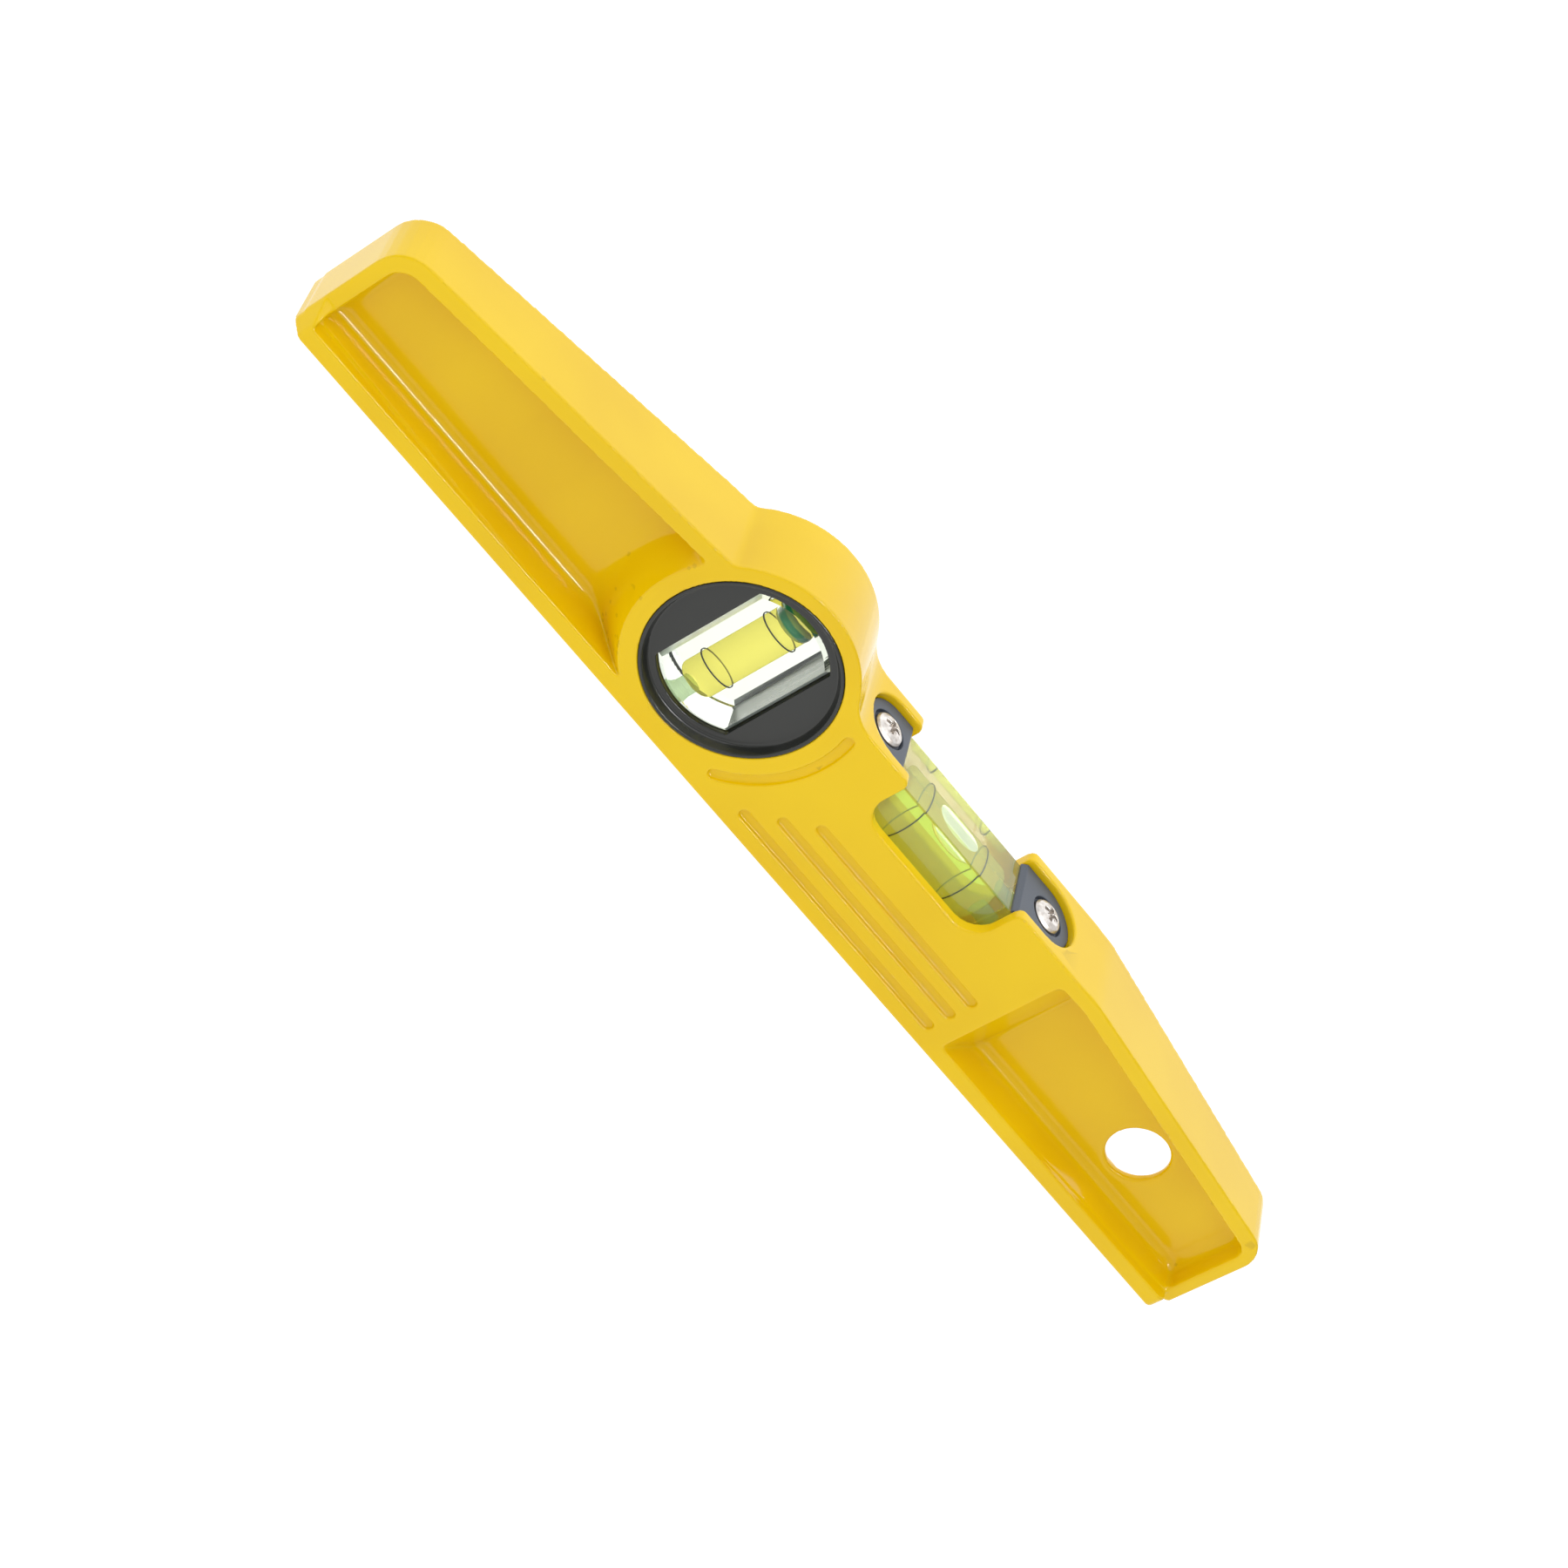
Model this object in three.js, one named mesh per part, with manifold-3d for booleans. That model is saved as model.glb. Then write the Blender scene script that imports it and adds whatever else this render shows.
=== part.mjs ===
// Pocket spirit level: a cast body with four pockets, a level vial under two screwed caps,
// and a plumb vial held between two press-fit bezels. Millimetres; X along the length,
// Y through the thickness with the front face towards -Y, Z up from the measuring base.
import * as THREE from 'three';
import { mergeVertices } from 'three/addons/utils/BufferGeometryUtils.js';
import Module from 'manifold-3d';

const wasm = await Module();
wasm.setup();

// Body casting
const bodyLength = 250;
const bodyWidth = 20;
const endWidth = 13.2; // the arms thin out towards both ends
const taperStart = 54; // distance from the middle where the arms begin to thin
const footLength = 245.2;
const footHeight = 3.3;
const footCorner = 1.8;
const endUnderside = 1.6; // the end walls overhang the foot from this height
const endLowCorner = 1.2;
const leftFlareTop = 7.5; // the left end wall flares out to the foot's full width below this height
const flareCorner = 1.5;
const flareSetback = 0.2; // the flare stays this far inside the end wall's face
const flatTop = 33.5;
const rightKink = 59.4; // where the flat top turns into the sloping right arm
const kinkRound = 30;
const leftEndTop = 25.1;
const leftEndRound = 7;
const rightEndTop = 24.65;
const rightEndRound = 6.2;
const leftSlope = 0.129;
const webHalf = 1;
const holeX = 96.3;
const holeZ = 14.6;
const holeRadius = 6.1;

// Pockets
const wallEnd = 2.7;
const wallTop = 3.1;
const pocketDraft = 0.6;
const pocketFillet = 2.4;
const bossRamp = 5; // the boss's side of the left pocket slopes down to the web over this length
const rightRamp = 9; // the right pocket's inner end slopes down to the web over this length
const rightPocketStart = 51.1;
const rightPocketWall = 2.4;
const pocketLowRound = 1;
const leftPocketRound = 4; // the pocket's corner under the rounded end
const rightPocketRound = 3;
const innerRound = 1.5;
const bossSideRound = 0.8;
const tipRound = 0.2; // small, because the left pocket's lower tip is a narrow angle

// Boss and plumb insert
const bossX = -31.2;
const bossZ = 22.6;
const bossRadius = 21;
const bossFilletLeft = 2.5; // between the boss and the sloping left arm
const bossFilletRight = 10; // between the boss and the flat top
const boreRadius = 18.1;
const bezelRadius = 18.04;
const bezelLip = 17.4;
const bezelFaceRadius = 16.7;
const bezelFaceDepth = 2;
const bezelPlate = 1.8;
const bezelHollow = 16.6;
const windowHalf = 9.75;
const windowRadius = 15.2;
const windowGap = 0.15; // round the vial block's raised part
const windowBevel = 0.6;

// Plumb vial
const plumbFlangeHalf = 12;
const plumbFlangeRadius = 16.4;
const plumbProud = 7.6; // half thickness of the raised window part
const plumbTube = 4.2;
const plumbLow = 10.1;
const plumbHigh = 35;
const plumbRingOffset = 7;
const plumbTravel = 19;
const plumbWay = 3.6; // radius and height of the room that the bubble moves in
const plumbWayHeight = 4.2;
const plumbBubbleGap = 0.3; // under the tube's top
const plumbPlugLow = 6.6;

// Level vial
const notchStart = 3.2;
const notchEnd = 35.6;
const notchFloor = 22.3;
const notchLip = 1.5;
const notchRound = 5.2;
const blockStart = -1;
const blockEnd = 38.5;
const blockHalf = 7.1;
const blockLow = 17.4;
const blockTop = 30.8;
const vialX = 19.8;
const vialZ = 24.1;
const vialRadius = 5;
const vialHalf = 13.5;
const levelRingOffset = 7.95;
const levelTravel = 7.5;
const levelBubbleHalf = 5;
const levelBubbleWidth = 3.6; // half width and half depth of the bubble's lens
const levelBubbleDepth = 1.9;
const levelBubbleRise = 4.6; // the lens's centre above the vial's axis
const levelBubbleGap = 0.15;
const levelWayFloor = 2.6; // the room that the bubble moves in starts this far above the axis
const levelWayGap = 0.4;

// Caps and screws
const capHalf = 7.1;
const capTop = 32.1;
const capLow = 28.8;
const capChamfer = 0.6;
const leftCap = { inner: 2.4, outer: -9.6, screw: -3.7 };
const rightCap = { inner: 35.4, outer: 49.7, screw: 43.5 };
const headSeat = 31;
const headRadius = 3.4;
const headHeight = 2.2;
const headGap = 0.6; // round the head in the cap's counterbore
const crossReach = 1.85;
const crossWidth = 0.85;
const crossDepth = 1.5;
const tickReach = 1.5;
const tickWidth = 0.22;
const tickDepth = 0.4;
const shankRadius = 1.9;
const screwTip = 18.5;

const ringHalf = 0.13; // marking rings: half width, wall, gap to the tube, and their groove
const ringWall = 0.18;
const ringGap = 0.05;
const ringSeat = 0.32;
const fillHole = 2;
const seam = 0.2; // assembly gap round the caps and the level vial
const hair = 0.06; // gap round the sealed inner pieces

// The four parallel grooves in the plate: three straight, and one that follows the boss
const grooveWidth = 2.1;
const grooveDepth = 0.9;
const grooves = [
  { from: -8.2, to: 47.9, z: 4.3 },
  { from: -3.3, to: 47.9, z: 9.2 },
  { from: 1.65, to: 47.9, z: 14.1 },
];
const arcGroove = { radius: 22.7, from: -51, to: 18 };

const paint = { color: 0xf0c832, roughness: 0.3, metalness: 0 };
const blackPlastic = { color: 0x3c3e3a, roughness: 0.35, metalness: 0 };
const greyPlastic = { color: 0x555d69, roughness: 0.5, metalness: 0 };
const acrylic = { color: 0xe8f0e0, roughness: 0.05, metalness: 0, transparent: true, opacity: 0.35 };
const plumbLiquid = { color: 0xfaee78, roughness: 0.1, metalness: 0, transparent: true, opacity: 0.6 };
const levelLiquid = { color: 0xbecd4b, roughness: 0.1, metalness: 0, transparent: true, opacity: 0.6 };
const air = { color: 0xffffff, roughness: 0.05, metalness: 0, transparent: true, opacity: 0.4 };
const inkBlack = { color: 0x1c2018, roughness: 0.6, metalness: 0 };
const zinc = { color: 0xd7d2cd, roughness: 0.3, metalness: 1 };
const plugGreen = { color: 0x5f9a3c, roughness: 0.4, metalness: 0 };

// Solids

function asSolid(geometry) {
  const bare = geometry.clone();
  bare.deleteAttribute('normal');
  bare.deleteAttribute('uv');
  const merged = mergeVertices(bare, 1e-4);
  const triangles = [];
  for (let i = 0; i < merged.index.count; i += 3) {
    const [a, b, c] = [0, 1, 2].map((k) => merged.index.getX(i + k));
    if (a !== b && b !== c && c !== a) triangles.push(a, b, c);
  }
  return new wasm.Manifold(new wasm.Mesh({
    numProp: 3,
    vertProperties: Float32Array.from(merged.attributes.position.array),
    triVerts: Uint32Array.from(triangles),
  }));
}

function asGeometry(solid) {
  const { vertProperties, triVerts } = solid.getMesh();
  const geometry = new THREE.BufferGeometry();
  geometry.setAttribute('position', new THREE.BufferAttribute(vertProperties, 3));
  geometry.setIndex(new THREE.BufferAttribute(triVerts, 1));
  geometry.computeVertexNormals();
  return geometry;
}

function cut(solid, ...tools) {
  return tools.reduce((rest, tool) => rest.subtract(tool), solid);
}

function join(solid, ...others) {
  return others.reduce((whole, other) => whole.add(other), solid);
}

// A mirror copy of a geometry on the other side of the mid-plane Y = 0.
function mirrored(geometry) {
  const copy = mergeVertices(geometry.clone().deleteAttribute('normal').deleteAttribute('uv'), 1e-4);
  copy.scale(1, -1, 1);
  const index = copy.index.array;
  for (let i = 0; i < index.length; i += 3) {
    [index[i], index[i + 1]] = [index[i + 1], index[i]];
  }
  return copy;
}

// An outline in the XZ plane carried from y = from to y = to.
function sidePrism(points, from, to, bevel = 0) {
  const geometry = new THREE.ExtrudeGeometry(new THREE.Shape(points), {
    depth: to - from - 2 * bevel,
    bevelEnabled: bevel > 0,
    bevelSize: bevel,
    bevelThickness: bevel,
    bevelOffset: -bevel,
    bevelSegments: 1,
  });
  return geometry.rotateX(Math.PI / 2).translate(0, to - bevel, 0);
}

// An outline in the XY plane carried from z = from to z = to.
function planPrism(points, from, to) {
  return new THREE.ExtrudeGeometry(new THREE.Shape(points), {
    depth: to - from,
    bevelEnabled: false,
  }).translate(0, 0, from);
}

function box(x0, x1, y0, y1, z0, z1) {
  return new THREE.BoxGeometry(x1 - x0, y1 - y0, z1 - z0)
    .translate((x0 + x1) / 2, (y0 + y1) / 2, (z0 + z1) / 2);
}

// A solid turned about Z from [radius, height] points; lies along X or Y when asked.
function turned(profile, steps = 48, along = 'z') {
  const geometry = new THREE.LatheGeometry(profile.map(([r, h]) => new THREE.Vector2(r, h)), steps);
  if (along === 'z') geometry.rotateX(Math.PI / 2);
  if (along === 'x') geometry.rotateZ(-Math.PI / 2);
  return geometry;
}

function rod(radius, from, to, steps = 48, along = 'z') {
  return turned([[0, from], [radius, from], [radius, to], [0, to]], steps, along);
}

// Outlines

function arc(centre, from, to, steps) {
  const start = from.clone().sub(centre);
  const radius = start.length();
  const first = start.angle();
  let sweep = to.clone().sub(centre).angle() - first;
  if (sweep > Math.PI) sweep -= 2 * Math.PI;
  if (sweep < -Math.PI) sweep += 2 * Math.PI;
  return Array.from({ length: steps + 1 }, (_, i) => {
    const angle = first + (sweep * i) / steps;
    return new THREE.Vector2(Math.cos(angle), Math.sin(angle)).multiplyScalar(radius).add(centre);
  });
}

// A closed outline from [x, z, radius] corners, each rounded by an arc of its radius.
function rounded(corners, steps = 6) {
  return corners.flatMap(([x, z, radius], i) => {
    const here = new THREE.Vector2(x, z);
    if (!radius) return [here];
    const before = corners.at(i - 1);
    const after = corners[(i + 1) % corners.length];
    const back = new THREE.Vector2(before[0], before[1]).sub(here).normalize();
    const ahead = new THREE.Vector2(after[0], after[1]).sub(here).normalize();
    const half = Math.acos(back.dot(ahead)) / 2;
    const reach = radius / Math.tan(half);
    const centre = back.clone().add(ahead).normalize()
      .multiplyScalar(radius / Math.sin(half)).add(here);
    return arc(centre, back.multiplyScalar(reach).add(here), ahead.multiplyScalar(reach).add(here), steps);
  });
}

// The concave fillet between a straight top line and the boss; side -1 is left, 1 is right.
function bossFillet(lineX, lineZ, slope, radius, side) {
  const along = new THREE.Vector2(1, slope).normalize();
  const up = new THREE.Vector2(-along.y, along.x);
  const boss = new THREE.Vector2(bossX, bossZ);
  const start = new THREE.Vector2(lineX, lineZ).addScaledVector(up, radius);
  const offset = start.clone().sub(boss);
  const middle = offset.dot(along);
  const reach = bossRadius + radius;
  const distance = -middle + side * Math.sqrt(middle ** 2 - offset.lengthSq() + reach ** 2);
  const centre = start.addScaledVector(along, distance);
  const onLine = centre.clone().addScaledVector(up, -radius);
  const onBoss = centre.clone().sub(boss).multiplyScalar(bossRadius / reach).add(boss);
  return { onLine, onBoss, centre };
}

function bodyOutline() {
  const end = bodyLength / 2;
  const boss = new THREE.Vector2(bossX, bossZ);
  const left = bossFillet(-end, leftEndTop, leftSlope, bossFilletLeft, -1);
  const right = bossFillet(0, flatTop, 0, bossFilletRight, 1);
  const asCorner = (point) => [point.x, point.y, 0];
  return rounded([
    [-end, endUnderside, endLowCorner],
    [-end, leftEndTop, leftEndRound],
    ...arc(left.centre, left.onLine, left.onBoss, 5).map(asCorner),
    ...arc(boss, left.onBoss, right.onBoss, 32).slice(1, -1).map(asCorner),
    ...arc(right.centre, right.onBoss, right.onLine, 8).map(asCorner),
    [notchStart, flatTop, notchLip],
    [notchStart, notchFloor, notchRound],
    [notchEnd, notchFloor, notchRound],
    [notchEnd, flatTop, notchLip],
    [rightKink, flatTop, kinkRound],
    [end, rightEndTop, rightEndRound],
    [end, endUnderside, endLowCorner],
  ]);
}

// The left pocket's outline, drawn in by inset; its boss side also moves by ramp.
function leftPocketOutline(inset, ramp) {
  const left = -bodyLength / 2 + wallEnd + inset;
  const floor = footHeight + inset;
  const ring = bossRadius + inset + ramp;
  const top = (x) => leftEndTop - wallTop + leftSlope * (x + bodyLength / 2) - inset;
  // Where the top line meets the ring: a few rounds of stepping along the line settle it.
  let topX = bossX - ring;
  for (let i = 0; i < 12; i += 1) topX = bossX - Math.sqrt(ring ** 2 - (top(topX) - bossZ) ** 2);
  const lowX = bossX - Math.sqrt(ring ** 2 - (bossZ - floor) ** 2);
  const boss = new THREE.Vector2(bossX, bossZ);
  const ringArc = arc(boss, new THREE.Vector2(topX, top(topX)), new THREE.Vector2(lowX, floor), 20);
  return rounded([
    [left, floor, pocketLowRound],
    [left, top(left), leftPocketRound],
    [topX, top(topX), bossSideRound],
    ...ringArc.slice(1, -1).map((point) => [point.x, point.y, 0]),
    [lowX, floor, tipRound],
  ]);
}

// The right pocket's outline; its inner end also moves by ramp.
function rightPocketOutline(inset, ramp) {
  const left = rightPocketStart + ramp;
  const right = bodyLength / 2 - rightPocketWall - inset;
  const floor = footHeight + inset;
  const slope = (rightEndTop - flatTop) / (bodyLength / 2 - rightKink);
  const top = (x) => flatTop - wallTop + slope * (Math.max(x, rightKink) - rightKink) - inset;
  const kink = Math.max(left + 2, rightKink);
  return rounded([
    [left, floor, pocketLowRound],
    [left, top(left), innerRound],
    [kink, top(kink), 0],
    [right, top(right), rightPocketRound],
    [right, floor, pocketLowRound],
  ]);
}

// A pocket cutter on the front side: a drafted wall, then a fillet onto the web.
function pocketCutter(outlineAt) {
  const outside = -bodyWidth / 2 - 1;
  const turn = -webHalf - pocketFillet;
  const wallSteps = 3;
  const rings = Array.from({ length: wallSteps + 1 }, (_, i) => [
    outside + ((turn - outside) * i) / wallSteps, (pocketDraft * i) / wallSteps,
  ]);
  for (let i = 1; i <= 4; i += 1) {
    const angle = (i * Math.PI) / 8;
    rings.push([turn + pocketFillet * Math.sin(angle), pocketDraft + pocketFillet * (1 - Math.cos(angle))]);
  }
  const outlines = rings.map(([y, inset]) => {
    const outline = outlineAt(inset, (y - outside) / (-webHalf - outside));
    return THREE.ShapeUtils.isClockWise(outline) ? outline.reverse() : outline;
  });
  const count = outlines[0].length;
  const last = (rings.length - 1) * count;
  const index = [];
  for (let start = 0; start < last; start += count) {
    for (let i = 0; i < count; i += 1) {
      const a = start + i;
      const b = start + ((i + 1) % count);
      index.push(a, b + count, b, a, a + count, b + count);
    }
  }
  for (const [a, b, c] of THREE.ShapeUtils.triangulateShape(outlines[0], [])) index.push(a, b, c);
  for (const [a, b, c] of THREE.ShapeUtils.triangulateShape(outlines.at(-1), [])) {
    index.push(last + a, last + c, last + b);
  }
  const positions = outlines.flatMap((outline, i) => outline.flatMap((p) => [p.x, rings[i][0], p.y]));
  const geometry = new THREE.BufferGeometry();
  geometry.setAttribute('position', new THREE.Float32BufferAttribute(positions, 3));
  geometry.setIndex(index);
  return geometry;
}

// A straight groove with round ends, cut into the front plate.
function grooveCutter({ from, to, z }) {
  const half = grooveWidth / 2;
  const round = half - 0.01; // a hair under half the width, so that no two points meet
  const outline = rounded([[from, z - half, round], [to, z - half, round],
    [to, z + half, round], [from, z + half, round]]);
  return sidePrism(outline, -bodyWidth / 2 - 1, -bodyWidth / 2 + grooveDepth);
}

// A groove with round ends that follows the boss, from one angle to the other in degrees.
function arcGrooveCutter({ radius, from, to }) {
  const half = grooveWidth / 2;
  const [start, end] = [from, to].map(THREE.MathUtils.degToRad);
  const shape = new THREE.Shape();
  const at = (angle) => [bossX + radius * Math.cos(angle), bossZ + radius * Math.sin(angle)];
  shape.absarc(bossX, bossZ, radius + half, start, end, false);
  shape.absarc(...at(end), half, end, end + Math.PI, false);
  shape.absarc(bossX, bossZ, radius - half, end, start, true);
  shape.absarc(...at(start), half, start + Math.PI, start + 2 * Math.PI, false);
  const points = shape.getPoints(10).filter((p, i, all) => i === 0 || p.distanceTo(all[i - 1]) > 0.01);
  if (points[0].distanceTo(points.at(-1)) < 0.01) points.pop();
  return sidePrism(points, -bodyWidth / 2 - 1, -bodyWidth / 2 + grooveDepth);
}

// The plumb window: upright sides closed by arcs above and below.
function windowOutline(half, radius) {
  const corner = Math.acos(half / radius);
  const at = (angle) => new THREE.Vector2(Math.cos(angle), Math.sin(angle)).multiplyScalar(radius)
    .add(new THREE.Vector2(bossX, bossZ));
  const centre = new THREE.Vector2(bossX, bossZ);
  return [
    ...arc(centre, at(corner), at(Math.PI - corner), 14),
    ...arc(centre, at(Math.PI + corner), at(-corner), 14),
  ];
}

// The bullet-shaped plan of a cap: a straight inner edge and a round outer end.
function capOutline({ inner, outer }, grow) {
  const half = capHalf + grow;
  const away = Math.sign(outer - inner);
  const centre = new THREE.Vector2(outer - away * capHalf, 0);
  const side = (y) => new THREE.Vector2(centre.x, y);
  const nose = new THREE.Vector2(centre.x + away * half, 0);
  const innerEdge = inner - away * grow;
  return [
    new THREE.Vector2(innerEdge, -half),
    ...arc(centre, side(-half), nose, 10),
    ...arc(centre, nose, side(half), 10).slice(1),
    new THREE.Vector2(innerEdge, half),
  ];
}

// Sub-parts

function bodyCasting() {
  const end = bodyLength / 2;
  const half = bodyWidth / 2;
  const plan = [
    [-end, -endWidth / 2], [-taperStart, -half], [taperStart, -half], [end, -endWidth / 2],
    [end, endWidth / 2], [taperStart, half], [-taperStart, half], [-end, endWidth / 2],
  ].map(([x, y]) => new THREE.Vector2(x, y));
  // The left end wall flares down to the foot's width, and the foot's left end follows it in plan.
  const face = -end + flareSetback;
  const foot = planPrism(rounded([
    [face, -endWidth / 2, flareCorner], [-footLength / 2, -half, footCorner],
    [footLength / 2, -half, footCorner], [footLength / 2, half, footCorner],
    [-footLength / 2, half, footCorner], [face, endWidth / 2, flareCorner],
  ]), 0, leftFlareTop);
  const flare = new THREE.ExtrudeGeometry(new THREE.Shape([
    [-half, 0], [half, 0], [half, footHeight], [endWidth / 2, leftFlareTop],
    [-endWidth / 2, leftFlareTop], [-half, footHeight],
  ].map(([y, z]) => new THREE.Vector2(y, z))), { depth: wallEnd, bevelEnabled: false })
    .rotateX(Math.PI / 2).rotateZ(Math.PI / 2).translate(-end, 0, 0);
  const footBand = box(-end, end, -half, half, 0, footHeight);
  const footAndFlare = asSolid(foot).intersect(asSolid(footBand).add(asSolid(flare)));
  const upper = asSolid(sidePrism(bodyOutline(), -half - 1, half + 1))
    .intersect(asSolid(planPrism(plan, -1, bodyLength)));
  const leftPocket = pocketCutter((inset, depth) => leftPocketOutline(inset, depth * bossRamp));
  const rightPocket = pocketCutter((inset, depth) => rightPocketOutline(inset, depth * rightRamp));
  const grooveTools = [...grooves.map(grooveCutter), arcGrooveCutter(arcGroove)];
  const paired = [leftPocket, rightPocket, ...grooveTools].flatMap((tool) => [tool, mirrored(tool)]);
  const slot = box(blockStart - seam, blockEnd + seam, -blockHalf - seam, blockHalf + seam,
    blockLow, flatTop + 1);
  const caps = [leftCap, rightCap];
  return cut(
    join(upper, footAndFlare),
    ...paired.map(asSolid),
    asSolid(rod(holeRadius, -half, half, 48, 'y').translate(holeX, 0, holeZ)),
    asSolid(rod(boreRadius, -half - 1, half + 1, 96, 'y').translate(bossX, 0, bossZ)),
    asSolid(slot),
    ...caps.map((cap) => asSolid(planPrism(capOutline(cap, seam), capLow, flatTop + 5))),
    ...caps.map(({ screw }) => asSolid(rod(shankRadius + hair, screwTip - 1, flatTop, 24)
      .translate(screw, 0, 0))),
  );
}

// The front bezel: a dished face in a thin bright lip, hollow behind, with the plumb window.
function plumbBezel() {
  const front = -bodyWidth / 2;
  const face = front + bezelFaceDepth;
  const back = face + bezelPlate;
  const shell = turned([
    [0, face], [bezelFaceRadius, face], [bezelLip, front], [bezelRadius, front],
    [bezelRadius, 0], [bezelHollow, 0], [bezelHollow, back], [0, back],
  ], 96, 'y').translate(bossX, 0, bossZ);
  return cut(asSolid(shell), asSolid(sidePrism(windowOutline(windowHalf, windowRadius), front - 1, 0)));
}

function plumbVialBlock() {
  const raised = windowOutline(windowHalf - windowGap, windowRadius - windowGap);
  const flange = -bodyWidth / 2 + bezelFaceDepth + bezelPlate;
  const cavity = rod(plumbTube, plumbLow, plumbHigh).translate(bossX, 0, 0);
  const filler = rod(fillHole, 0, plumbLow + 0.5, 24).translate(bossX, 0, 0);
  const ringSeats = [-1, 1].map((side) => rod(plumbTube + ringSeat, -ringSeat, ringSeat)
    .translate(bossX, 0, bossZ + side * plumbRingOffset));
  return cut(
    join(
      asSolid(sidePrism(windowOutline(plumbFlangeHalf, plumbFlangeRadius), flange, -flange)),
      asSolid(sidePrism(raised, -plumbProud, plumbProud, windowBevel)),
    ),
    ...[cavity, filler, ...ringSeats].map(asSolid),
  );
}

// The liquid leaves a way open to the top for the bubble's whole travel.
function plumbFluid() {
  const liquid = rod(plumbTube - hair, plumbLow + hair, plumbHigh - hair).translate(bossX, 0, 0);
  const way = rod(plumbWay, plumbHigh - plumbTravel - plumbWayHeight, plumbHigh + 1)
    .translate(bossX, 0, 0);
  return cut(asSolid(liquid), asSolid(way));
}

function plumbBubble() {
  const top = plumbHigh - plumbBubbleGap;
  return turned([
    [0, top - 3.4], [2, top - 3.2], [3.1, top - 2.5], [3.4, top - 1.6],
    [3.1, top - 0.6], [2.4, top], [0, top],
  ], 32).translate(bossX, 0, 0);
}

function ring(inner, outer, half, along) {
  return turned([[inner, -half], [outer, -half], [outer, half], [inner, half], [inner, -half]], 64, along);
}

function levelVialBlock() {
  const block = box(blockStart, blockEnd, -blockHalf, blockHalf, blockLow, blockTop);
  const cavity = rod(vialRadius, -vialHalf, vialHalf, 48, 'x').translate(vialX, 0, vialZ);
  const filler = rod(fillHole, vialHalf - 0.5, blockEnd, 24, 'x').translate(vialX, 0, vialZ);
  const ringSeats = [-1, 1].map((side) => rod(vialRadius + ringSeat, -ringSeat, ringSeat, 48, 'x')
    .translate(vialX + side * levelRingOffset, 0, vialZ));
  return cut(asSolid(block), ...[cavity, filler, ...ringSeats].map(asSolid));
}

// The liquid is open along the top for the bubble's whole travel.
function levelFluid() {
  const liquid = rod(vialRadius - hair, -vialHalf + hair, vialHalf - hair, 48, 'x')
    .translate(vialX, 0, vialZ);
  const reach = levelBubbleHalf + levelTravel + levelWayGap;
  const way = box(vialX - reach, vialX + reach, -vialRadius, vialRadius,
    vialZ + levelWayFloor, vialZ + vialRadius + 1);
  return cut(asSolid(liquid), asSolid(way));
}

function levelBubble() {
  const lens = new THREE.SphereGeometry(1, 32, 20)
    .scale(levelBubbleHalf, levelBubbleWidth, levelBubbleDepth)
    .translate(vialX, 0, vialZ + levelBubbleRise);
  const tube = rod(vialRadius - levelBubbleGap, -vialHalf, vialHalf, 48, 'x').translate(vialX, 0, vialZ);
  return asSolid(lens).intersect(asSolid(tube));
}

// A cap seats on the casting beside the vial block and steps up to hold the block's end;
// its inner top edge is chamfered.
function endCap(cap) {
  const blockEdge = cap === leftCap ? blockStart - seam : blockEnd + seam;
  const overBlock = cap === leftCap
    ? box(blockEdge, cap.inner + 1, -10, 10, capLow - 1, blockTop)
    : box(cap.inner - 1, blockEdge, -10, 10, capLow - 1, blockTop);
  const chamfer = box(-capChamfer, capChamfer, -10, 10, -capChamfer, capChamfer)
    .rotateY(Math.PI / 4).translate(cap.inner, 0, capTop);
  return cut(
    asSolid(planPrism(capOutline(cap, 0), capLow, capTop)),
    asSolid(chamfer),
    asSolid(overBlock),
    asSolid(rod(shankRadius + seam, capLow - 1, capTop + 1, 24).translate(cap.screw, 0, 0)),
    asSolid(rod(headRadius + headGap, headSeat, capTop + 1, 48).translate(cap.screw, 0, 0)),
  );
}

// A pan-head screw with a cross recess and the small diagonal ticks between its arms.
function capScrew() {
  const crown = headSeat + headHeight;
  const screw = turned([
    [0, screwTip], [shankRadius * 0.5, screwTip], [shankRadius, screwTip + 1.5], [shankRadius, headSeat],
    [headRadius, headSeat], [headRadius, headSeat + 1], [headRadius - 0.35, headSeat + 1.5],
    [headRadius - 1.2, headSeat + 1.95], [headRadius - 2.2, crown - 0.05], [0, crown],
  ], 48);
  const arm = (reach, width, depth, angle) => box(-reach, reach, -width / 2, width / 2,
    crown - depth, crown + 1).rotateZ(angle);
  const recess = [0, Math.PI / 2].map((angle) => arm(crossReach, crossWidth, crossDepth, angle));
  const ticks = [Math.PI / 4, -Math.PI / 4].map((angle) => arm(tickReach, tickWidth, tickDepth, angle));
  return cut(asSolid(screw), ...[...recess, ...ticks].map(asSolid));
}

// Assembly

const level = new THREE.Group();

function place(name, shape, look, position = [0, 0, 0]) {
  const geometry = shape.isBufferGeometry ? asGeometry(asSolid(shape)) : asGeometry(shape);
  const mesh = new THREE.Mesh(geometry, new THREE.MeshStandardMaterial({ ...look, flatShading: true }));
  mesh.name = name;
  mesh.position.set(...position);
  level.add(mesh);
}

place('body_casting', bodyCasting(), paint);

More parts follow.
